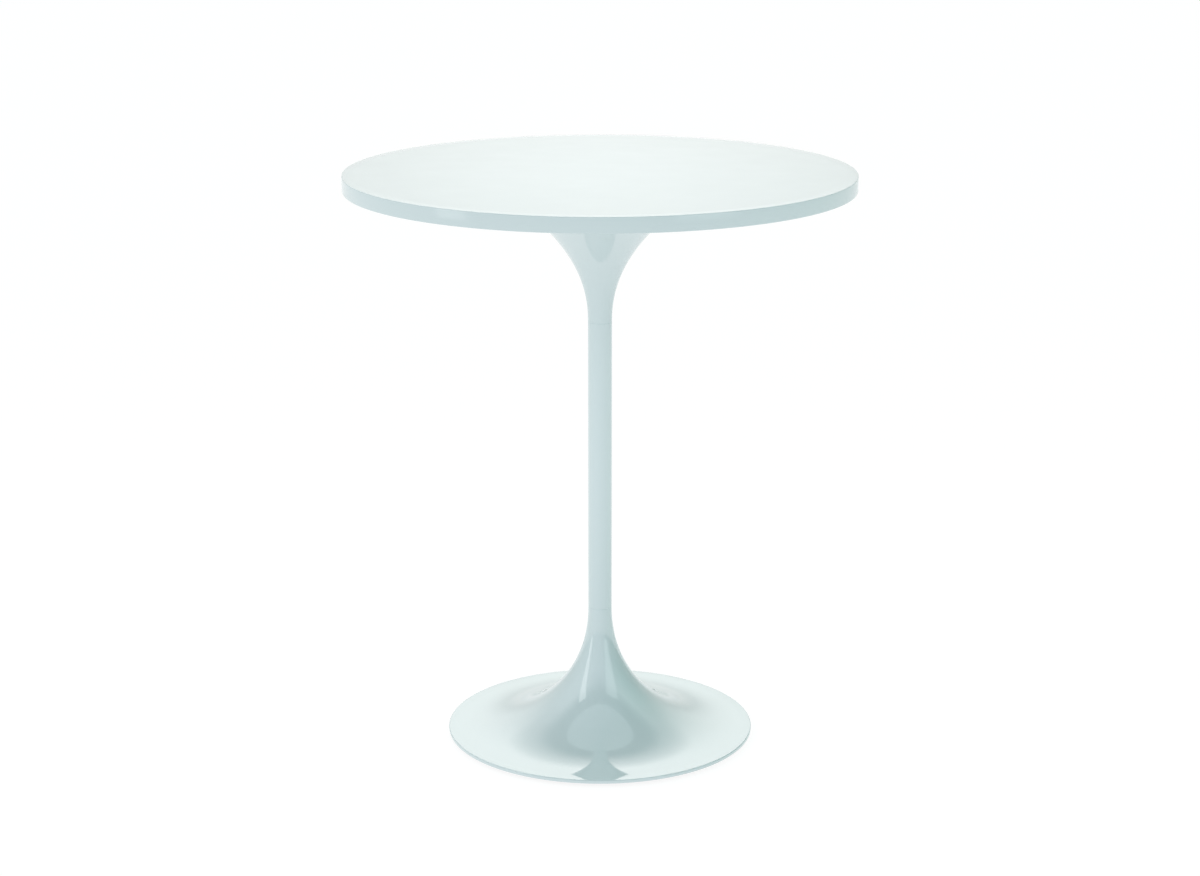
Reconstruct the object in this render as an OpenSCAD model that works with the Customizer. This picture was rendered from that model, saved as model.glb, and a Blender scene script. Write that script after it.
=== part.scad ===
// Round pedestal table: a lacquered disc top on a slim tube between a trumpet head and a trumpet base.
// Millimetres, +Z up. The origin is on the pedestal's axis, on the floor.
// A single rod in the tube clamps top, head, tube, base shell and ballast together. Four glides level it.

/* [Tabletop] */
// Height of the top surface above the floor
table_h = 520; // [480:5:620]
// Diameter of the tabletop
top_d = 450; // [380:5:520]
// Thickness of the tabletop
top_t = 13.4; // [13:0.2:19]
// Radius of the tabletop's eased edges
top_edge = 0.6; // [0.3:0.1:1.2]

/* [Head] */
// Height of the flare under the tabletop
head_h = 120.6; // [110:0.6:140]
// Diameter of the head where it meets the tabletop
mouth_d = 184; // [180:1:220]
// Power that the head's radius grows with
head_power = 2.2; // [2:0.1:2.6]

/* [Stem] */
// Outside diameter of the tube, and of both necks
stem_d = 21.3; // [21.3:0.1:25]
// Wall of the tube
tube_wall = 2; // [1.6:0.1:2.2]

/* [Base] */
// Diameter of the base
base_d = 279; // [275:1:320]
// Height of the base shell, from the underside of its rim to its neck
base_h = 116.1; // [110:0.1:140]
// Thickness of the rim's edge
rim_t = 3.3; // [3:0.1:5]
// Width of the flat ring round the base's rim
ring_w = 11; // [8:0.5:11]
// Exponent of the superellipse that the base's outline follows from its neck to the flat ring
flare_n = 2.1; // [1.9:0.1:2.1]
// Gap between the rim and the floor
rim_gap = 3.5; // [3.5:0.1:5]
// Wall of the base shell and of the head
shell_wall = 2; // [1.6:0.1:2]

/* [Ballast] */
// Diameter of the ballast casting
ballast_d = 200; // [194:1:202]
// Height of the ballast's flat top above the rim's underside
ballast_top = 30; // [26:1:32]

/* [Glides] */
// Diameter of the circle that the glides stand on
glide_pcd = 168; // [160:1:168]
// Diameter of a glide's pad
pad_d = 26; // [22:1:30]
// Thickness of a glide's pad
pad_t = 2.5; // [2.4:0.1:2.5]

/* [Hidden] */
$fn = 128;

// Clearances: between a shaft and its hole, and between nested faces that are not a fit
fit = 0.05;
loose = 0.5;
// Reach of a cutting tool past the face that it opens
past = 1;

// Tabletop and head
top_r = top_d / 2;
top_under = table_h - top_t;
mouth_r = mouth_d / 2;
stem_r = stem_d / 2;
head_z = top_under - head_h;
head_steps = 40;
neck_bore_r = stem_r - shell_wall;

// Base shell
base_r = base_d / 2;
neck_z = rim_gap + base_h;
flare_r = base_r - ring_w;
flare_w = flare_r - stem_r;
flare_h = base_h - rim_t;
flare_step = 2.25;
rim_edge = 0.8;
rim_lip = 2;

// Tie rod, M10
rod_r = 4.95;
rod_hole_r = 5.5;
rod_thread_r = 5;
rod_nut_af = 17;
rod_nut_h = 8.4;
rod_tail = 1;
rod_end_gap = 2;
washer_r = 10.5;
washer_bore_r = 5.25;
washer_t = 2;
lock_r = 9;
lock_bore_r = 5.2;
lock_t = 2.2;
lock_slit = 1.4;

// Mounting plate and the M6 screws that hold it to the inserts in the tabletop
plate_t = 4;
plate_z = top_under - plate_t;
plate_screw_count = 4;
plate_screw_pcd = 120;
m6_r = 2.95;
m6_thread_r = 3;
m6_head_r = 6;
m6_head_h = 3;
plate_screw_l = 14;
plate_screw_drive_af = 4;
plate_screw_drive_h = 2;
insert_r = 4.5;
insert_l = 10;
insert_hole_l = 11;
coupler_l = 24;

// Spigots that centre the tube on the two necks
spigot_r = neck_bore_r - fit;
spigot_reach = 30;
hub_flange_r = 26;
hub_flange_t = 5;
hub_boss_r = 12;
hub_boss_h = 36;

// Ballast, with the nut's pocket under it
ballast_r = ballast_d / 2;
ballast_under = rim_gap + 1.6;
ballast_z = rim_gap + ballast_top;
pocket_r = 20;
pocket_roof = rim_gap + 16;
rod_nut_z = pocket_roof - washer_t - lock_t - rod_nut_h;

// Cover under the base, with its M4 screws and plug
cover_t = 1.2;
cover_r = base_r - rim_lip - fit;
cover_hole_r = 18;
cover_screw_count = 4;
cover_screw_pcd = 120;
m4_r = 1.95;
m4_thread_r = 2;
m4_clear_r = 2.25;
m4_head_r = 3.6;
m4_head_h = 1.6;
m4_drive_af = 2.5;
m4_drive_h = 1.2;
cover_screw_l = 9;
cover_screw_hole_l = 10;
plug_lip_r = 20;
plug_lip_t = 1.2;
plug_wall = 1.2;
plug_h = 3;

// Glides: an M6 stud in a bush in the ballast, on a pad that snaps over the stud's flange
glide_count = 4;
bush_r = 6;
bush_l = 6;
bush_z = rim_gap + 0.2;
stud_top = rim_gap + 5.6;
flange_r = 7;
flange_t = 0.9;
flange_z = 0.9;
pad_edge = 0.6;
pad_hole_r = 3.5;
drive_af = 3;
drive_h = 3;

// Radius of a hexagon's corners from its width across flats
function hex_r(af) = af / 2 / cos(30);

// Points of a quarter round of radius r about [x, z], from angle a on
function quarter(x, z, r, a) = [for (i = [0 : 4]) [x + r * cos(a + i * 22.5), z + r * sin(a + i * 22.5)]];

// Outer radius of the head at a height s above its neck, its slope there, and its inner radius
function head_r(s) = stem_r + (mouth_r - stem_r) * pow(s / head_h, head_power);
function head_slope(s) = (mouth_r - stem_r) * head_power / head_h * pow(s / head_h, head_power - 1);
function head_bore(s) = head_r(s) - shell_wall * sqrt(1 + pow(head_slope(s), 2));

// Radius of the mounting plate, which fits in the head's mouth
plate_r = head_bore(head_h - plate_t) - loose;

// Point of the base's outline at angle a, 0 at the neck and 90 at the flat ring, set in square to it by d
function flare(a, d) =
    let (
        u = pow(cos(a), 2 / flare_n),
        v = pow(sin(a), 2 / flare_n),
        nx = pow(u, flare_n - 1) / flare_w,
        nz = pow(v, flare_n - 1) / flare_h,
        k = d / norm([nx, nz])
    )
    [flare_r - flare_w * u - k * nx, neck_z - flare_h * v - k * nz];

// The outline from the neck to the flat ring, set in by d
function flare_line(d) = [for (a = [0 : flare_step : 90]) flare(a, d)];

function reversed(list) = [for (i = [len(list) - 1 : -1 : 0]) list[i]];

// Children at count places on a circle, half a step round from +X
module around(count, pcd) {
    for (i = [0 : count - 1])
        rotate(i * 360 / count + 180 / count)
            translate([pcd / 2, 0, 0])
                children();
}

// A cylinder from z1 to z2
module rod(r, z1, z2) {
    translate([0, 0, z1])
        cylinder(r = r, h = z2 - z1);
}

// A hexagonal prism from z1 to z2, by its width across flats
module hex(af, z1, z2) {
    translate([0, 0, z1])
        cylinder(r = hex_r(af), h = z2 - z1, $fn = 6);
}

// A tube from z1 to z2
module sleeve(r, bore, z1, z2) {
    difference() {
        rod(r, z1, z2);
        rod(bore, z1 - past, z2 + past);
    }
}

module tabletop() {
    x = top_r - top_edge;
    color([0.91, 0.96, 0.96])
        difference() {
            rotate_extrude()
                polygon(concat(
                    [[0, top_under]],
                    quarter(x, top_under + top_edge, top_edge, -90),
                    quarter(x, table_h - top_edge, top_edge, 0),
                    [[0, table_h]]
                ));
            around(plate_screw_count, plate_screw_pcd)
                rod(insert_r, top_under - past, top_under + insert_hole_l);
        }
}

module top_inserts() {
    color("goldenrod")
        around(plate_screw_count, plate_screw_pcd)
            sleeve(insert_r, m6_thread_r, top_under, top_under + insert_l);
}

module mounting_plate() {
    color("silver")
        difference() {
            rod(plate_r, plate_z, top_under);
            rod(rod_hole_r, plate_z - past, top_under + past);
            around(plate_screw_count, plate_screw_pcd) {
                rod(m6_thread_r + 2 * fit, plate_z - past, top_under + past);
                translate([0, 0, plate_z])
                    cylinder(r1 = m6_head_r + fit, r2 = m6_thread_r + fit, h = m6_head_h);
            }
        }
}

module plate_screws() {
    color("gainsboro")
        around(plate_screw_count, plate_screw_pcd)
            difference() {
                union() {
                    rod(m6_r, plate_z, plate_z + plate_screw_l);
                    translate([0, 0, plate_z])
                        cylinder(r1 = m6_head_r, r2 = m6_r, h = m6_head_h);
                }
                hex(plate_screw_drive_af, plate_z - past, plate_z + plate_screw_drive_h);
            }
}

module rod_coupler() {
    color("silver")
        difference() {
            hex(rod_nut_af, plate_z - coupler_l, plate_z);
            rod(rod_thread_r, plate_z - coupler_l - past, plate_z + past);
        }
}

module head_shell() {
    outside = [for (i = [0 : head_steps]) let (s = i * head_h / head_steps) [head_r(s), head_z + s]];
    inside = [for (i = [0 : head_steps]) let (s = i * head_h / head_steps) [head_bore(s), head_z + s]];
    color([0.82, 0.89, 0.89])
        rotate_extrude()
            polygon(concat(outside, reversed(inside)));
}

module upper_spigot() {
    color("silver")
        sleeve(spigot_r, rod_hole_r, head_z - spigot_reach, head_z + spigot_reach);
}

module stem_tube() {
    color([0.85, 0.91, 0.91])
        sleeve(stem_r, stem_r - tube_wall, neck_z, head_z);
}

module lower_spigot() {
    color("silver")
        difference() {
            union() {
                rod(hub_flange_r, ballast_z, ballast_z + hub_flange_t);
                rod(hub_boss_r, ballast_z, ballast_z + hub_flange_t + hub_boss_h);
                rod(spigot_r, ballast_z, neck_z + spigot_reach);
            }
            rod(rod_hole_r, ballast_z - past, neck_z + spigot_reach + past);
        }
}

module base_shell() {
    x = base_r - rim_edge;
    rim_top = rim_gap + rim_t;
    color([0.80, 0.88, 0.88])
        rotate_extrude()
            polygon(concat(
                flare_line(0),
                reversed(quarter(x, rim_top - rim_edge, rim_edge, 0)),
                reversed(quarter(x, rim_gap + rim_edge, rim_edge, -90)),
                [[base_r - rim_lip, rim_gap], [base_r - rim_lip, rim_top - shell_wall]],
                reversed(flare_line(shell_wall))
            ));
}

module ballast() {
    color("dimgray")
        difference() {
            rotate_extrude()
                intersection() {
                    polygon(concat(flare_line(shell_wall + fit), [[base_r, 0], [0, 0], [0, neck_z]]));
                    translate([0, ballast_under])
                        square([ballast_r, ballast_z - ballast_under]);
                }
            rod(rod_hole_r, pocket_roof - past, ballast_z + past);
            rod(pocket_r, ballast_under - past, pocket_roof);
            around(glide_count, glide_pcd)
                rod(bush_r, ballast_under - past, ballast_z);
            rotate(180 / cover_screw_count)
                around(cover_screw_count, cover_screw_pcd)
                    rod(m4_thread_r, ballast_under - past, ballast_under + cover_screw_hole_l);
        }
}

module tie_rod() {
    color("lightsteelblue")
        rod(rod_r, rod_nut_z - rod_tail, plate_z - rod_end_gap);
}

module rod_washer() {
    color("lightgray")
        sleeve(washer_r, washer_bore_r, pocket_roof - washer_t, pocket_roof);
}

module rod_lock_washer() {
    z = rod_nut_z + rod_nut_h;
    color("gray")
        difference() {
            sleeve(lock_r, lock_bore_r, z, z + lock_t);
            translate([0, -lock_slit / 2, z - past])
                cube([lock_r + past, lock_slit, lock_t + 2 * past]);
        }
}

module rod_nut() {
    color("lightgray")
        difference() {
            hex(rod_nut_af, rod_nut_z, rod_nut_z + rod_nut_h);
            rod(rod_thread_r, rod_nut_z - past, rod_nut_z + rod_nut_h + past);
        }
}

module glide_bushes() {
    color("silver")
        around(glide_count, glide_pcd)
            sleeve(bush_r, m6_thread_r, bush_z, bush_z + bush_l);
}

module base_cover() {
    color([0.16, 0.17, 0.18])
        difference() {
            rod(cover_r, rim_gap, rim_gap + cover_t);
            rod(cover_hole_r, rim_gap - past, rim_gap + cover_t + past);
            around(glide_count, glide_pcd)
                rod(bush_r + loose, rim_gap - past, rim_gap + cover_t + past);
            rotate(180 / cover_screw_count)
                around(cover_screw_count, cover_screw_pcd)
                    rod(m4_clear_r, rim_gap - past, rim_gap + cover_t + past);
        }
}

module cover_screws() {
    color("silver")
        rotate(180 / cover_screw_count)
            around(cover_screw_count, cover_screw_pcd)
                difference() {
                    union() {
                        rod(m4_head_r, rim_gap - m4_head_h, rim_gap);
                        rod(m4_r, rim_gap - m4_head_h, rim_gap + cover_screw_l);
                    }
                    hex(m4_drive_af, rim_gap - m4_head_h - past, rim_gap - m4_head_h + m4_drive_h);
                }
}

module cover_plug() {
    color([0.10, 0.10, 0.11])
        difference() {
            union() {
                rod(plug_lip_r, rim_gap - plug_lip_t, rim_gap);
                rod(cover_hole_r - fit, rim_gap - plug_lip_t, rim_gap + plug_h);
            }
            rod(cover_hole_r - plug_wall, rim_gap, rim_gap + plug_h + past);
        }
}

// A pad stands still on the floor while the stud turns in it
module glide_pad(i) {
    x = pad_d / 2 - pad_edge;
    color([0.93, 0.92, 0.88])
        rotate(i * 360 / glide_count + 180 / glide_count)
            translate([glide_pcd / 2, 0, 0])
                difference() {
                    rotate_extrude()
                        polygon(concat(
                            [[0, 0]],
                            quarter(x, pad_edge, pad_edge, -90),
                            quarter(x, pad_t - pad_edge, pad_edge, 0),
                            [[0, pad_t]]
                        ));
                    rod(pad_hole_r, -past, flange_z);
                    rod(flange_r + 2 * fit, flange_z - fit, flange_z + flange_t + fit);
                    rod(m6_r + 2 * fit, flange_z, pad_t + past);
                }
}

module glide_stud(i) {
    color("silver")
        rotate(i * 360 / glide_count + 180 / glide_count)
            translate([glide_pcd / 2, 0, 0])
                difference() {
                    union() {
                        rod(flange_r, flange_z, flange_z + flange_t);
                        rod(m6_r, flange_z, stud_top);
                    }
                    hex(drive_af, flange_z - past, flange_z + drive_h);
                }
}

tabletop();
top_inserts();
mounting_plate();
plate_screws();
rod_coupler();
head_shell();
upper_spigot();
stem_tube();
lower_spigot();
base_shell();
ballast();
tie_rod();
rod_washer();
rod_lock_washer();
rod_nut();
glide_bushes();
base_cover();
cover_screws();
cover_plug();
glide_pad(0);  // glide_pad_1
glide_pad(1);  // glide_pad_2
glide_pad(2);  // glide_pad_3
glide_pad(3);  // glide_pad_4
glide_stud(0);  // glide_stud_1
glide_stud(1);  // glide_stud_2
glide_stud(2);  // glide_stud_3
glide_stud(3);  // glide_stud_4
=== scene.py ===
"""Looks of the round pedestal table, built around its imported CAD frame. Metres, +Z up."""

import math

import bmesh
import bpy
from mathutils import Matrix, Vector


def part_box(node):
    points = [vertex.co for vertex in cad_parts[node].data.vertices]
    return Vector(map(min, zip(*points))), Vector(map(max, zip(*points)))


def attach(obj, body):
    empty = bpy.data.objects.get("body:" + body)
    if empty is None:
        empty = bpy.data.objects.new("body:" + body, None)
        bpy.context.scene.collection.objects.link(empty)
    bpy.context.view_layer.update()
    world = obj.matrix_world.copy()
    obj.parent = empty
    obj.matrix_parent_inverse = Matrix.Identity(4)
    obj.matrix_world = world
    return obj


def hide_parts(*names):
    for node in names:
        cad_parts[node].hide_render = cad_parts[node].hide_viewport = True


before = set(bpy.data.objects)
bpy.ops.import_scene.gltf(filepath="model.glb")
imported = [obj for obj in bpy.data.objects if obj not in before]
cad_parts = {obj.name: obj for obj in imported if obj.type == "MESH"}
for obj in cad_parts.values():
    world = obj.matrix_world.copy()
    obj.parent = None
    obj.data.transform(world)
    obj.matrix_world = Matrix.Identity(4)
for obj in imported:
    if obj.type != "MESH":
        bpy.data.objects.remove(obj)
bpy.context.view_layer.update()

MM = 0.001
# An edge that folds more than this stays crisp
FOLD = math.radians(38)
# Points closer to the axis than this are on it
ON_AXIS = 1e-7

# Rules of the design that the frame's boxes don't hold
HEAD_POWER = 2.2
FLARE_POWER = 2.1
RING_WIDTH = 11 * MM
SHELL_WALL = 2 * MM
TUBE_WALL = 2 * MM
RIM_HEIGHT = 3.3 * MM
RIM_LIP = 2 * MM
SEAM = 0.2 * MM
GLIDES = range(1, 5)

# Radius of each screw's crests, and its pitch
M4_R, M4_PITCH = 1.95 * MM, 0.7 * MM
M6_R, M6_PITCH = 2.95 * MM, 1.0 * MM
M10_PITCH = 1.5 * MM
M10_HOLE_R = 5.5 * MM

# ---------------------------------------------------------------- mesh tools


def link_mesh(name, bm, sharp=None):
    """A new object from a bmesh. Edges that fold more than sharp, in radians, stay crisp."""
    bmesh.ops.recalc_face_normals(bm, faces=bm.faces)
    for face in bm.faces:
        face.smooth = sharp is not None
    if sharp is not None:
        for edge in bm.edges:
            edge.smooth = edge.calc_face_angle(0.0) < sharp
    mesh = bpy.data.meshes.new(name)
    bm.to_mesh(mesh)
    bm.free()
    obj = bpy.data.objects.new(name, mesh)
    bpy.context.scene.collection.objects.link(obj)
    return obj


def turn(bm, profile, segments, centre=(0, 0)):
    """Adds a closed solid of revolution.

    profile(angle) gives (radius, z) points, and a radius of 0 is a pole.
    """
    columns = []
    for i in range(segments):
        angle = 2 * math.pi * i / segments
        columns.append([(r, z, math.cos(angle), math.sin(angle)) for r, z in profile(angle)])
    rings = []
    for k, (radius, z, _, _) in enumerate(columns[0]):
        around = columns if radius > ON_AXIS else columns[:1]
        rings.append([
            bm.verts.new((centre[0] + c[k][0] * c[k][2], centre[1] + c[k][0] * c[k][3], c[k][1]))
            for c in around
        ])
    hollow = all(len(ring) > 1 for ring in rings)
    for lower, upper in zip(rings, rings[1:] + (rings[:1] if hollow else [])):
        for i in range(segments):
            j = i + 1
            corners = [lower[i % len(lower)], lower[j % len(lower)]]
            corners += [upper[j % len(upper)], upper[i % len(upper)]]
            corners = list(dict.fromkeys(corners))
            if len(corners) > 2:
                bm.faces.new(corners)


def turned(name, profile, segments=96, centres=((0, 0),), sharp=FOLD):
    """One piece of equal turned solids, one about each centre.

    profile is a list of points or a function of angle.
    """
    outline = profile if callable(profile) else lambda angle: profile
    bm = bmesh.new()
    for centre in centres:
        turn(bm, outline, segments, centre)
    return link_mesh(name, bm, sharp)


def drill(obj, radius, centres, low, high, segments=64):
    """Cuts plain holes from low to high through a piece."""
    tool = turned("drill", [(0, low), (radius, low), (radius, high), (0, high)], segments, centres)
    cut = obj.modifiers.new("drill", "BOOLEAN")
    cut.operation = "DIFFERENCE"
    cut.solver = "EXACT"
    cut.object = tool
    evaluated = obj.evaluated_get(bpy.context.evaluated_depsgraph_get())
    settled = bpy.data.meshes.new_from_object(evaluated)
    settled.set_sharp_from_angle(angle=FOLD)
    obj.modifiers.clear()
    obj.data = settled
    bpy.data.objects.remove(tool)


def arc(x, z, radius, start, end, steps=6):
    """Points of an arc about (x, z), by angles in degrees."""
    angles = [math.radians(start + (end - start) * i / steps) for i in range(steps + 1)]
    return [(x + radius * math.cos(a), z + radius * math.sin(a)) for a in angles]


def rounded(points, radius, steps=3):
    """A closed outline with its corners eased. Poles and nearly straight runs are left alone."""
    least_bend = math.radians(11.5)
    shortest = 1e-9
    eased = []
    count = len(points)
    for k, here in enumerate(points):
        before, after = Vector(points[k - 1]), Vector(points[(k + 1) % count])
        here = Vector(here)
        a, b = before - here, after - here
        no_corner = here.x < ON_AXIS or min(a.length, b.length) < shortest
        if no_corner or abs(a.angle(b) - math.pi) < least_bend:
            eased.append(tuple(here))
            continue
        # The eases at both ends of an edge leave a little of it between them
        reach = min(radius, a.length / 2.1, b.length / 2.1)
        start, end = here + a.normalized() * reach, here + b.normalized() * reach
        for i in range(steps + 1):
            t = i / steps
            eased.append(tuple(start.lerp(here, t).lerp(here.lerp(end, t), t)))
    return eased


def circle_of(count, diameter, start=0.0):
    """Centres spaced equally on a circle, by degrees from +X."""
    angles = [math.radians(start + 360 * i / count) for i in range(count)]
    return [(diameter / 2 * math.cos(a), diameter / 2 * math.sin(a)) for a in angles]


# ---------------------------------------------------------------- machine parts


def hex_radius(across, angle):
    """Radius of a hexagon's outline at an angle."""
    turned_by = angle % (math.pi / 3) - math.pi / 6
    return across / 2 / math.cos(turned_by)


def socket_outline(across, depth, lead, low, angle):
    """Points out of a hexagon socket in a face that looks down at a height low."""
    wall = hex_radius(across, angle)
    return [(0, low + depth), (wall, low + depth), (wall, low + lead), (wall + lead, low)]


def thread(radius, pitch, low, high, angle, lead=0.6 * MM):
    """Points up a right-hand thread with a 60 degree form. Both ends run out in a chamfer."""
    depth = 0.61 * pitch
    rings_per_turn = 8
    # The form's wave is stretched and cut off, which leaves a flat crest and root
    stretch, crest = 1.25, 0.1
    rings = max(2, round((high - low) / pitch * rings_per_turn))
    points = []
    for k in range(rings + 1):
        z = low + (high - low) * k / rings
        phase = (z / pitch - angle / (2 * math.pi)) % 1
        groove = min(1.0, max(0.0, stretch * (1 - abs(2 * phase - 1)) - crest))
        end = min(z - low, high - z)
        points.append((min(radius - depth * groove, radius - max(0.0, lead - end)), z))
    return points


def chamfered_hex(across, bore, low, high):
    """Profile of a nut: its corners are turned off, and its bore has countersunk mouths."""
    flat = across / 2 * 0.96
    slope = math.tan(math.radians(30))
    lead = 0.5 * MM

    def profile(angle):
        corner = hex_radius(across, angle)
        drop = max(0.0, corner - flat) * slope
        return [
            (bore + lead, low), (flat, low), (corner, low + drop), (corner, high - drop),
            (flat, high), (bore + lead, high), (bore, high - lead), (bore, low + lead),
        ]

    return profile


def sleeve(outer, bore, low, high, ease=0.3 * MM):
    """A plain ring's outline with its corners eased."""
    return rounded([(outer, low), (outer, high), (bore, high), (bore, low)], ease)


def split_ring(name, outer, bore, low, high, gap, slant, steps=90):
    """A flattened spring washer: a ring with square section, cut at +X on a slant."""
    bm = bmesh.new()
    half = gap / 2 / outer
    sections = []
    for i in range(steps + 1):
        share = i / steps
        section = []
        for radius, z in ((outer, low), (outer, high), (bore, high), (bore, low)):
            lean = slant * (z - (low + high) / 2) * abs(1 - 2 * share)
            angle = half + (2 * math.pi - 2 * half) * share + lean
            section.append(bm.verts.new((radius * math.cos(angle), radius * math.sin(angle), z)))
        sections.append(section)
    for a, b in zip(sections, sections[1:]):
        for k in range(4):
            bm.faces.new((a[k], a[(k + 1) % 4], b[(k + 1) % 4], b[k]))
    bm.faces.new(sections[0])
    bm.faces.new(sections[-1][::-1])
    return link_mesh(name, bm, FOLD)


# ---------------------------------------------------------------- the design's outlines

TOP_LOW, TOP_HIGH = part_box("tabletop")
STEM_LOW, STEM_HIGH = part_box("stem_tube")
HEAD_LOW, HEAD_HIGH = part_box("head_shell")
BASE_LOW, BASE_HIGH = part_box("base_shell")

TOP_R = TOP_HIGH.x
STEM_R = STEM_HIGH.x
MOUTH_R = HEAD_HIGH.x
BASE_R = BASE_HIGH.x
HEAD_HEIGHT = HEAD_HIGH.z - HEAD_LOW.z
TOP_SCREWS = circle_of(4, 120 * MM, 45)
COVER_SCREWS = circle_of(4, 120 * MM)
GLIDE_CENTRES = circle_of(4, 168 * MM, 45)


def head_radius(s):
    """Outer radius of the head at a height s above its neck."""
    return STEM_R + (MOUTH_R - STEM_R) * (s / HEAD_HEIGHT) ** HEAD_POWER


def head_slope(s):
    """How fast that radius grows with height."""
    grown = (s / HEAD_HEIGHT) ** (HEAD_POWER - 1)
    return (MOUTH_R - STEM_R) * HEAD_POWER / HEAD_HEIGHT * grown


def flare(angle, inset=0.0):
    """(radius, height) of the base's outline, set in square to it.

    The angle runs from 0 at the neck to 90 degrees at the flat ring.
    """
    outer = BASE_R - RING_WIDTH
    width = outer - STEM_R
    height = BASE_HIGH.z - BASE_LOW.z - RIM_HEIGHT
    u = max(math.cos(math.radians(angle)), 0.0) ** (2 / FLARE_POWER)
    v = math.sin(math.radians(angle)) ** (2 / FLARE_POWER)
    nx = u ** (FLARE_POWER - 1) / width
    nz = v ** (FLARE_POWER - 1) / height
    k = inset / math.hypot(nx, nz)
    return outer - width * u - k * nx, BASE_HIGH.z - height * v - k * nz


# ---------------------------------------------------------------- materials


def new_material(name):
    """A material with its nodes, links and surface shader."""
    material = bpy.data.materials.new(name)
    material.use_nodes = True
    nodes = material.node_tree.nodes
    return material, nodes, material.node_tree.links, nodes["Principled BSDF"]


def noise_at(nodes, links, scale, detail=2.0, roughness=0.5):
    """A noise texture in object coordinates, about scale lumps to the metre."""
    place = nodes.new("ShaderNodeTexCoord")
    noise = nodes.new("ShaderNodeTexNoise")
    noise.inputs["Scale"].default_value = scale
    noise.inputs["Detail"].default_value = detail
    noise.inputs["Roughness"].default_value = roughness
    links.new(place.outputs["Object"], noise.inputs["Vector"])
    return noise


def ranged(nodes, links, value, low, high, start=0.0, end=1.0):
    """value taken from start..end to low..high."""
    span = nodes.new("ShaderNodeMapRange")
    for name, number in (("From Min", start), ("From Max", end), ("To Min", low), ("To Max", high)):
        span.inputs[name].default_value = number
    links.new(value, span.inputs["Value"])
    return span.outputs["Result"]


def blended(nodes, links, factor, dark, light):
    """A colour between two, by a factor."""
    mix = nodes.new("ShaderNodeMix")
    mix.data_type = "RGBA"
    mix.inputs["A"].default_value = (*dark, 1)
    mix.inputs["B"].default_value = (*light, 1)
    links.new(factor, mix.inputs["Factor"])
    return mix.outputs["Result"]


def bumped(nodes, links, height, distance):
    """A normal that a height of 0 to 1 raises by up to a distance."""
    bump = nodes.new("ShaderNodeBump")
    bump.inputs["Distance"].default_value = distance
    links.new(height, bump.inputs["Height"])
    return bump.outputs["Normal"]


def uneven(nodes, links, surface, grey, rough):
    """Roughness that follows a noise, most of whose values lie from low to high."""
    low, high = 0.3, 0.7
    links.new(ranged(nodes, links, grey, *rough, low, high), surface.inputs["Roughness"])


def tinted(nodes, links, surface, grey, dark, light):
    """A base colour that drifts between two with a noise."""
    links.new(blended(nodes, links, grey, dark, light), surface.inputs["Base Color"])


def lacquer(name, dark, light, peel, gloss, ior=1.5):
    """Sprayed gloss lacquer: a faint drift of tint, uneven gloss and orange peel."""
    material, nodes, links, surface = new_material(name)
    drift = noise_at(nodes, links, 9.0)
    tinted(nodes, links, surface, drift.outputs["Fac"], dark, light)
    patches = noise_at(nodes, links, 34.0, 4.0)
    uneven(nodes, links, surface, patches.outputs["Fac"], gloss)
    skin = noise_at(nodes, links, 420.0, 2.0)
    links.new(bumped(nodes, links, skin.outputs["Fac"], peel), surface.inputs["Normal"])
    surface.inputs["IOR"].default_value = ior
    return material


def metal(name, dark, light, rough):
    """Plated or turned metal: streaked roughness and a fine scratch bump."""
    streaks_per_metre = (900.0, 900.0, 60.0)
    scratch_depth = 0.00002
    material, nodes, links, surface = new_material(name)
    surface.inputs["Metallic"].default_value = 1.0
    place = nodes.new("ShaderNodeTexCoord")
    stretch = nodes.new("ShaderNodeMapping")
    stretch.inputs["Scale"].default_value = streaks_per_metre
    links.new(place.outputs["Object"], stretch.inputs["Vector"])
    streaks = nodes.new("ShaderNodeTexNoise")
    streaks.inputs["Scale"].default_value = 1.0
    streaks.inputs["Detail"].default_value = 4.0
    links.new(stretch.outputs["Vector"], streaks.inputs["Vector"])
    cloud = noise_at(nodes, links, 60.0, 3.0)
    tinted(nodes, links, surface, cloud.outputs["Fac"], dark, light)
    uneven(nodes, links, surface, streaks.outputs["Fac"], rough)
    links.new(bumped(nodes, links, streaks.outputs["Fac"], scratch_depth), surface.inputs["Normal"])
    return material


def grained(name, dark, light, rough, scale, depth):
    """Cast or moulded skin: a fine pebbled bump and a slight change of tone."""
    material, nodes, links, surface = new_material(name)
    grain = noise_at(nodes, links, scale, 6.0, 0.6)
    cloud = noise_at(nodes, links, scale / 12, 3.0)
    tinted(nodes, links, surface, cloud.outputs["Fac"], dark, light)
    uneven(nodes, links, surface, grain.outputs["Fac"], rough)
    links.new(bumped(nodes, links, grain.outputs["Fac"], depth), surface.inputs["Normal"])
    return material


# ---------------------------------------------------------------- pieces that show


def finish_of(obj, material):
    """One material on the whole piece, in a slot."""
    obj.data.materials.clear()
    obj.data.materials.append(material)


def replace(obj, node, slot, body="table"):
    """obj stands for a CAD node, in its slot's finish, on a body."""
    finish_of(obj, FINISHES[slot])
    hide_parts(node)
    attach(obj, body)


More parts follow.
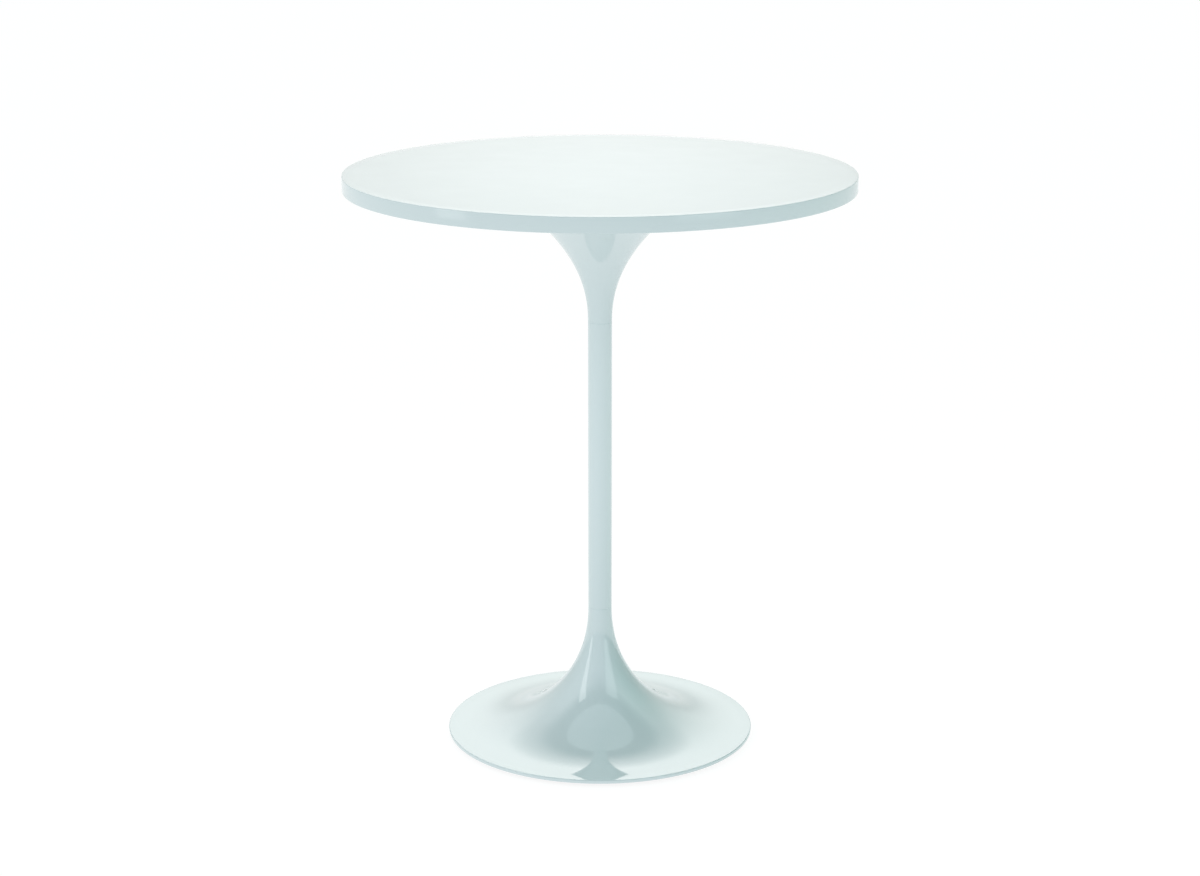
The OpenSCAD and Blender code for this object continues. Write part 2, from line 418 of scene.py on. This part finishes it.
def make_tabletop():
    """A board with eased edges and four blind holes under it for the inserts."""
    edge = 0.6 * MM
    insert_r, hole_depth = 4.5 * MM, 11 * MM
    x = TOP_R - edge
    rings = [TOP_R * share for share in (0.12, 0.3, 0.5, 0.7, 0.85, 0.95)]
    outline = [(0, TOP_LOW.z), (x - 4 * MM, TOP_LOW.z)]
    outline += arc(x, TOP_LOW.z + edge, edge, -90, 0)
    outline += arc(x, TOP_HIGH.z - edge, edge, 0, 90)
    outline += [(r, TOP_HIGH.z) for r in reversed(rings)] + [(0, TOP_HIGH.z)]
    top = turned("lacquered_top", outline, 384)
    drill(top, insert_r, TOP_SCREWS, TOP_LOW.z - MM, TOP_LOW.z + hole_depth)
    replace(top, "tabletop", "lacquered_board")


def make_head():
    """The flare under the top, with a hairline seam at its neck."""
    steps = 64
    heights = [HEAD_HEIGHT * (i / steps) for i in range(steps + 1)]
    outside = [(head_radius(s), HEAD_LOW.z + s) for s in heights]
    inside = [
        (head_radius(s) - SHELL_WALL * math.hypot(1, head_slope(s)), HEAD_LOW.z + s)
        for s in heights
    ]
    outside[0:1] = [(STEM_R - SEAM, HEAD_LOW.z), (STEM_R, HEAD_LOW.z + SEAM)]
    head = turned("trumpet_head", outside + inside[::-1], 256)
    replace(head, "head_shell", "gloss_paint")


def make_stem():
    """A plain tube with a hairline seam at both ends."""
    bore = STEM_R - TUBE_WALL
    bands = 8
    heights = [STEM_LOW.z + (STEM_HIGH.z - STEM_LOW.z) * i / bands for i in range(1, bands)]
    outline = [(bore, STEM_LOW.z), (STEM_R - SEAM, STEM_LOW.z), (STEM_R, STEM_LOW.z + SEAM)]
    outline += [(STEM_R, z) for z in heights]
    outline += [(STEM_R, STEM_HIGH.z - SEAM), (STEM_R - SEAM, STEM_HIGH.z), (bore, STEM_HIGH.z)]
    replace(turned("stem", outline, 128), "stem_tube", "gloss_paint")


def make_base():
    """The wide flare, with a hairline seam at its neck and a rounded, turned-down rim."""
    edge = 0.8 * MM
    x = BASE_R - edge
    rim_top = BASE_LOW.z + RIM_HEIGHT
    bands = 75
    angles = [i * 90 / bands for i in range(bands + 1)]
    outline = [(STEM_R - SEAM, BASE_HIGH.z), (STEM_R, BASE_HIGH.z - SEAM)]
    outline += [flare(a) for a in angles[1:]]
    outline += arc(x, rim_top - edge, edge, 90, 0)
    outline += arc(x, BASE_LOW.z + edge, edge, 0, -90)
    outline += [(BASE_R - RIM_LIP, BASE_LOW.z), (BASE_R - RIM_LIP, rim_top - SHELL_WALL)]
    outline += [flare(a, SHELL_WALL) for a in reversed(angles)]
    replace(turned("trumpet_base", outline, 320), "base_shell", "gloss_paint")


# ---------------------------------------------------------------- underside and fasteners


def make_cover():
    """A moulded disc with shallow stiffening grooves round its underside."""
    low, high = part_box("base_cover")
    groove = ((-1.6 * MM, 0), (-1.1 * MM, 0.35 * MM), (1.1 * MM, 0.35 * MM), (1.6 * MM, 0))
    groove_radii = (26 * MM, 44 * MM, 76 * MM, 112 * MM)
    plug_r, stud_hole_r, screw_hole_r = 18 * MM, 6.5 * MM, 2.25 * MM
    ease = 0.4 * MM
    outline = [(0, low.z)]
    outline += [(radius + x, low.z + dz) for radius in groove_radii for x, dz in groove]
    outline += [(high.x - ease, low.z), (high.x, low.z + ease), (high.x, high.z), (0, high.z)]
    cover = turned("moulded_cover", outline, 256)
    span = (low.z - MM, high.z + MM)
    drill(cover, plug_r, [(0, 0)], *span, 96)
    drill(cover, stud_hole_r, GLIDE_CENTRES, *span)
    drill(cover, screw_hole_r, COVER_SCREWS, *span)
    replace(cover, "base_cover", "black_plastic")


def make_plug():
    """A press-in cap with a dished face and a snap bead."""
    low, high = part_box("cover_plug")
    lip = low.z + 1.2 * MM
    bead, bore = 17.95 * MM, 16.8 * MM
    neck = bead - 0.25 * MM
    dish, ease = 0.4 * MM, 0.6 * MM
    outline = [(0, low.z + dish), (12 * MM, low.z + dish), (13 * MM, low.z)]
    outline += arc(high.x - ease, low.z + ease, ease, -90, 0, 4)
    outline += [(high.x, lip), (neck, lip), (neck, lip + 1.4 * MM), (bead, lip + 2 * MM)]
    outline += [(bead - 0.5 * MM, high.z), (bore, high.z), (bore, lip), (0, lip)]
    replace(turned("press_in_cap", outline, 128), "cover_plug", "black_plastic")


def make_pad(i):
    """A nylon foot with a ring groove in its sole, snapped over the stud's flange."""
    low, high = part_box(f"glide_pad_{i}")
    edge = (high.x - low.x) / 2 / MM
    sole = [(3.5, 0), (8.6, 0), (8.9, 0.25), (9.9, 0.25), (10.2, 0), (edge - 0.7, 0), (edge, 0.7)]
    shoulder = [(edge, 1.8), (edge - 0.7, 2.5), (5.2, 2.5), (4.8, 2.3)]
    pocket = [(3.05, 2.3), (3.05, 1.85), (7.1, 1.85), (7.1, 0.85), (3.5, 0.85)]
    outline = [(r * MM, z * MM) for r, z in sole + shoulder + pocket]
    pad = turned(f"nylon_foot_{i}", rounded(outline, 0.3 * MM), 96, (GLIDE_CENTRES[i - 1],))
    replace(pad, f"glide_pad_{i}", "nylon", f"glide_pad_{i}")


def make_stud(i):
    """An M6 levelling stud with a round flange and a hexagon socket in its foot."""
    low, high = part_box(f"glide_stud_{i}")
    flange = (high.x - low.x) / 2
    top = low.z + 0.9 * MM
    neck, ease = 2.6 * MM, 0.2 * MM

    def profile(angle):
        foot = socket_outline(3 * MM, 3 * MM, ease, low.z, angle)
        foot += [(flange - ease, low.z), (flange, low.z + ease), (flange, top - ease)]
        foot += [(flange - ease, top), (neck, top)]
        return foot + thread(M6_R, M6_PITCH, top + 0.3 * MM, high.z, angle) + [(0, high.z)]

    stud = turned(f"m6_stud_{i}", profile, 36, (GLIDE_CENTRES[i - 1],))
    replace(stud, f"glide_stud_{i}", "zinc_steel", f"glide_stud_{i}")


def make_cover_screws():
    """Button-head screws, heads down."""
    low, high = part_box("cover_screws")
    under = 1.6
    button = [(2.1, 0), (2.8, 0.2), (3.35, 0.65), (3.6, 1.2), (3.55, under), (1.7, under)]
    start = low.z + (under + 0.3) * MM

    def profile(angle):
        head = socket_outline(2.5 * MM, 1.2 * MM, 0.15 * MM, low.z, angle)
        head += [(r * MM, low.z + z * MM) for r, z in button]
        return head + thread(M4_R, M4_PITCH, start, high.z, angle, 0.4 * MM) + [(0, high.z)]

    replace(turned("m4_screws", profile, 36, COVER_SCREWS), "cover_screws", "zinc_steel")


def make_plate_screws():
    """Countersunk screws, heads down."""
    low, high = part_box("plate_screws")

    def profile(angle):
        head = socket_outline(4 * MM, 2 * MM, 0.2 * MM, low.z, angle)
        head += [(5.8 * MM, low.z), (5.9 * MM, low.z + 0.1 * MM), (M6_R, low.z + 3 * MM)]
        return head + thread(M6_R, M6_PITCH, low.z + 3.2 * MM, high.z, angle) + [(0, high.z)]

    screws = turned("m6_countersunk_screws", profile, 36, TOP_SCREWS)
    replace(screws, "plate_screws", "zinc_steel")


def make_inserts():
    """Brass inserts with two bands of straight knurling and a groove between them."""
    low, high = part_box("top_inserts")
    length = high.z - low.z
    plain, bore, lead = 4.1 * MM, 3 * MM, 0.3 * MM
    ridges, crest, ridge_depth = 28, 4.5 * MM, 0.3 * MM

    def profile(angle):
        knurl = crest - ridge_depth * abs(2 * (angle * ridges / (2 * math.pi) % 1) - 1)
        shares = (0.04, 0.1, 0.42, 0.46, 0.54, 0.58, 0.9)
        radii = (plain, knurl, knurl, plain, plain, knurl, knurl)
        wall = [(radius, low.z + length * share) for share, radius in zip(shares, radii)]
        top = [(plain, high.z), (bore + lead, high.z), (bore, high.z - lead)]
        return [(plain, low.z)] + wall + top + [(bore, low.z + lead), (bore + lead, low.z)]

    replace(turned("knurled_inserts", profile, 112, TOP_SCREWS), "top_inserts", "brass")


def make_tie_rod():
    """The M10 rod, threaded at both ends with a slightly thinner shank between."""
    low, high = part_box("tie_rod")
    run, lead = 34 * MM, 1 * MM

    def profile(angle):
        foot = thread(high.x, M10_PITCH, low.z, low.z + run, angle, lead)
        head = thread(high.x, M10_PITCH, high.z - run, high.z, angle, lead)
        return [(0, low.z)] + foot + head + [(0, high.z)]

    replace(turned("m10_tie_rod", profile, 40), "tie_rod", "zinc_steel")


def make_rod_hardware():
    """Coupler, washers and nut on the rod."""
    for node, name in (("rod_coupler", "long_nut"), ("rod_nut", "m10_nut")):
        low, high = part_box(node)
        nut = turned(name, chamfered_hex(high.y - low.y, 5 * MM, low.z, high.z), 96)
        replace(nut, node, "zinc_steel")
    low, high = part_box("rod_washer")
    washer = turned("flat_washer", sleeve(high.x, 5.25 * MM, low.z, high.z))
    replace(washer, "rod_washer", "zinc_steel")
    low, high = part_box("rod_lock_washer")
    gap, slant = 1.4 * MM, 40.0
    ring = split_ring("spring_washer", high.y, 5.2 * MM, low.z, high.z, gap, slant)
    replace(ring, "rod_lock_washer", "spring_steel")


def make_spigots():
    """The sleeve and the hub that centre the tube."""
    low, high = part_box("upper_spigot")
    tube_sleeve = turned("tube_sleeve", sleeve(high.x, M10_HOLE_R, low.z, high.z, 0.8 * MM))
    replace(tube_sleeve, "upper_spigot", "zinc_steel")
    low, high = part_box("lower_spigot")
    flange, boss, spigot = high.x, 12 * MM, 8.6 * MM
    flange_top, boss_top = low.z + 5 * MM, low.z + 41 * MM
    outline = [
        (flange, low.z), (flange, flange_top), (boss, flange_top), (boss, boss_top),
        (spigot, boss_top), (spigot, high.z), (M10_HOLE_R, high.z), (M10_HOLE_R, low.z),
    ]
    replace(turned("turned_hub", rounded(outline, 0.9 * MM)), "lower_spigot", "zinc_steel")


def make_bushes():
    """The glides' threaded bushes in the ballast."""
    low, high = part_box("glide_bushes")
    bushes = turned("threaded_bushes", sleeve(6 * MM, 3 * MM, low.z, high.z), 48, GLIDE_CENTRES)
    replace(bushes, "glide_bushes", "zinc_steel")


# ---------------------------------------------------------------- studio


def make_camera():
    """The photograph's view: in front of the table, a little above the top, looking down on it."""
    down = 15.12
    data = bpy.data.cameras.new("camera")
    data.sensor_width = 36.0
    data.lens = 75.7
    camera = bpy.data.objects.new("camera", data)
    camera.location = (0, -2.189, 0.8705)
    camera.rotation_euler = (math.radians(90 - down), 0, 0)
    bpy.context.scene.collection.objects.link(camera)
    bpy.context.scene.camera = camera


def softbox(name, bearing, rise, distance, size, radiance, tint=(1, 1, 1)):
    """A lamp that faces the table. Its bearing is in degrees right of the camera's side."""
    target = Vector((0, 0, 0.2))
    data = bpy.data.lights.new(name, "AREA")
    data.shape = "RECTANGLE"
    data.size, data.size_y = size
    data.energy = radiance * math.pi * size[0] * size[1]
    data.color = tint
    a, e = math.radians(bearing - 90), math.radians(rise)
    out = Vector((math.cos(a) * math.cos(e), math.sin(a) * math.cos(e), math.sin(e)))
    side = Vector((0, 0, 1)).cross(out).normalized()
    turn_to = Matrix((side, out.cross(side), out)).transposed()
    light = bpy.data.objects.new(name, data)
    light.location = target + out * distance
    light.rotation_euler = turn_to.to_euler()
    light.visible_camera = False
    bpy.context.scene.collection.objects.link(light)


def make_floor():
    """A white floor that glows, with only a faint contact shadow. From underneath it is clear."""
    albedo, glow = 0.16, 0.9
    bm = bmesh.new()
    bmesh.ops.create_grid(bm, x_segments=2, y_segments=2, size=20)
    floor = link_mesh("floor", bm)
    material, nodes, links, surface = new_material("pale_floor")
    surface.inputs["Base Color"].default_value = (albedo, albedo, albedo, 1)
    surface.inputs["Roughness"].default_value = 0.9
    surface.inputs["Specular IOR Level"].default_value = 0.0
    surface.inputs["Emission Color"].default_value = (1, 1, 1, 1)
    surface.inputs["Emission Strength"].default_value = glow
    side = nodes.new("ShaderNodeNewGeometry")
    clear = nodes.new("ShaderNodeBsdfTransparent")
    mix = nodes.new("ShaderNodeMixShader")
    links.new(side.outputs["Backfacing"], mix.inputs["Fac"])
    links.new(surface.outputs["BSDF"], mix.inputs[1])
    links.new(clear.outputs["BSDF"], mix.inputs[2])
    links.new(mix.outputs["Shader"], nodes["Material Output"].inputs["Surface"])
    floor.data.materials.append(material)


# Colour of the studio by the sine of the height above level, towards each side of the table.
# The first number of a side is how narrowly it shines: the sides with 2 share the room out
# evenly, and the lobe and the glow are added to them.
WORLD_STRENGTH = 2.35
SIDES = {
    "front": (2, "Y", -1.0, ((0.0, (0.24, 0.26, 0.275)), (0.31, (0.29, 0.31, 0.33)),
                             (0.53, (0.35, 0.37, 0.395)), (0.72, (0.22, 0.23, 0.255)),
                             (0.83, (0.01, 0.02, 0.02)))),
    "back": (2, "Y", 1.0, ((0.0, (0.26, 0.25, 0.24)), (0.31, (0.27, 0.26, 0.25)),
                           (0.53, (0.33, 0.31, 0.30)), (0.70, (0.34, 0.32, 0.31)),
                           (0.79, (0.06, 0.06, 0.06)), (0.90, (0.05, 0.05, 0.05)),
                           (0.97, (0.25, 0.26, 0.25)))),
    "left": (2, "X", -1.0, ((0.0, (0.22, 0.26, 0.25)), (0.31, (0.34, 0.37, 0.37)),
                            (0.53, (0.46, 0.49, 0.49)), (0.72, (0.50, 0.52, 0.52)),
                            (0.84, (0.04, 0.06, 0.05)), (0.91, (0.04, 0.06, 0.05)),
                            (0.97, (0.25, 0.27, 0.26)))),
    "right": (2, "X", 1.0, ((0.0, (0.00, 0.02, 0.01)), (0.31, (0.00, 0.08, 0.05)),
                            (0.53, (0.16, 0.29, 0.25)), (0.72, (0.35, 0.45, 0.42)),
                            (0.84, (0.02, 0.05, 0.04)), (0.91, (0.02, 0.05, 0.04)),
                            (0.97, (0.23, 0.26, 0.25)))),
    "back_lobe": (8, "Y", 1.0, ((0.0, (0.20, 0.20, 0.20)), (0.16, (0.20, 0.20, 0.20)),
                                (0.31, (0.58, 0.57, 0.56)), (0.53, (0.86, 0.84, 0.82)),
                                (0.70, (0.20, 0.20, 0.20)), (0.79, (0.0, 0.0, 0.0)))),
    "back_glow": (160, "Y", 1.0, ((0.0, (0.10, 0.10, 0.10)), (0.20, (0.10, 0.10, 0.10)),
                                  (0.30, (0.0, 0.0, 0.0)))),
}


def math_node(nodes, links, operation, *values):
    """The result of an operation on numbers and sockets."""
    node = nodes.new("ShaderNodeMath")
    node.operation = operation
    for socket, value in zip(node.inputs, values):
        if isinstance(value, (int, float)):
            socket.default_value = value
        else:
            links.new(value, socket)
    return node.outputs[0]


def side_ramp(nodes, links, height, stops):
    """One side's colour at a height."""
    ramp = nodes.new("ShaderNodeValToRGB")
    elements = ramp.color_ramp.elements
    elements.remove(elements[1])
    for place, colour in stops:
        element = elements[0] if place == 0.0 else elements.new(place)
        element.position = place
        element.color = (*colour, 1)
    links.new(height, ramp.inputs["Fac"])
    return ramp.outputs["Color"]


def added_light(nodes, links, total, colour, share):
    """total plus a share of a colour."""
    add = nodes.new("ShaderNodeVectorMath")
    add.operation = "MULTIPLY_ADD"
    links.new(colour, add.inputs[0])
    links.new(share, add.inputs[1])
    if total is not None:
        links.new(total, add.inputs[2])
    return add.outputs[0]


def make_world():
    """A room of soft panels: bright behind and at the left, dim low at the right, dark overhead."""
    world = bpy.data.worlds.new("studio")
    world.use_nodes = True
    bpy.context.scene.world = world
    nodes, links = world.node_tree.nodes, world.node_tree.links
    background = nodes["Background"]
    background.inputs["Strength"].default_value = WORLD_STRENGTH
    place = nodes.new("ShaderNodeTexCoord")
    split = nodes.new("ShaderNodeSeparateXYZ")
    links.new(place.outputs["Generated"], split.inputs["Vector"])
    height = split.outputs["Z"]
    raised = math_node(nodes, links, "MULTIPLY", height, height)
    level = math_node(nodes, links, "SUBTRACT", 1.0, raised)
    level = math_node(nodes, links, "MAXIMUM", level, 0.0001)
    total = None
    for power, axis, sign, stops in SIDES.values():
        toward = math_node(nodes, links, "MULTIPLY", split.outputs[axis], sign)
        toward = math_node(nodes, links, "MAXIMUM", toward, 0.0)
        square = math_node(nodes, links, "MULTIPLY", toward, toward)
        share = math_node(nodes, links, "DIVIDE", square, level)
        share = math_node(nodes, links, "POWER", share, power / 2)
        total = added_light(nodes, links, total, side_ramp(nodes, links, height, stops), share)
    links.new(total, background.inputs["Color"])


def make_studio():
    """The camera, the floor and the lights."""
    make_camera()
    make_floor()
    make_world()
    softbox("overhead", bearing=180, rise=89, distance=0.72, size=(0.2, 0.2), radiance=2.6)
    softbox("left_strip", bearing=-64, rise=26, distance=1.9, size=(0.5, 2.0), radiance=1.4)
    softbox("right_box", bearing=44, rise=28, distance=2.0, size=(1.0, 2.0), radiance=0.85,
            tint=(0.9, 1, 1))
    bpy.context.scene.view_settings.view_transform = "Standard"


# ---------------------------------------------------------------- build

FINISHES = {
    "lacquered_board": lacquer("top_lacquer", (0.595, 0.69, 0.705), (0.615, 0.705, 0.72),
                               peel=0.00001, gloss=(0.08, 0.14)),
    "gloss_paint": lacquer("gloss_paint", (0.61, 0.71, 0.725), (0.63, 0.725, 0.74),
                           peel=0.000006, gloss=(0.02, 0.035), ior=1.8),
    "zinc_steel": metal("zinc_plate", (0.52, 0.53, 0.55), (0.68, 0.69, 0.70), (0.28, 0.42)),
    "spring_steel": metal("spring_steel", (0.10, 0.10, 0.11), (0.18, 0.18, 0.19), (0.35, 0.5)),
    "brass": metal("brass", (0.62, 0.45, 0.20), (0.74, 0.56, 0.28), (0.25, 0.4)),
    "cast_iron": grained("cast_iron", (0.030, 0.030, 0.033), (0.060, 0.060, 0.064),
                         (0.55, 0.8), scale=700.0, depth=0.00025),
    "black_plastic": grained("black_plastic", (0.012, 0.012, 0.013), (0.022, 0.022, 0.024),
                             (0.45, 0.6), scale=1800.0, depth=0.00006),
    "nylon": grained("nylon", (0.72, 0.71, 0.66), (0.80, 0.79, 0.74),
                     (0.35, 0.5), scale=900.0, depth=0.00003),
}


def finish_cad_nodes():
    """CAD nodes whose shape is already right keep it, and get their slot's material."""
    for node, slot in (("mounting_plate", "zinc_steel"), ("ballast", "cast_iron")):
        finish_of(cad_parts[node], FINISHES[slot])


make_studio()
make_tabletop()
make_head()
make_stem()
make_base()
make_cover()
make_plug()
make_cover_screws()
make_plate_screws()
make_inserts()
make_tie_rod()
make_rod_hardware()
make_spigots()
make_bushes()
for glide in GLIDES:
    make_pad(glide)
    make_stud(glide)
finish_cad_nodes()
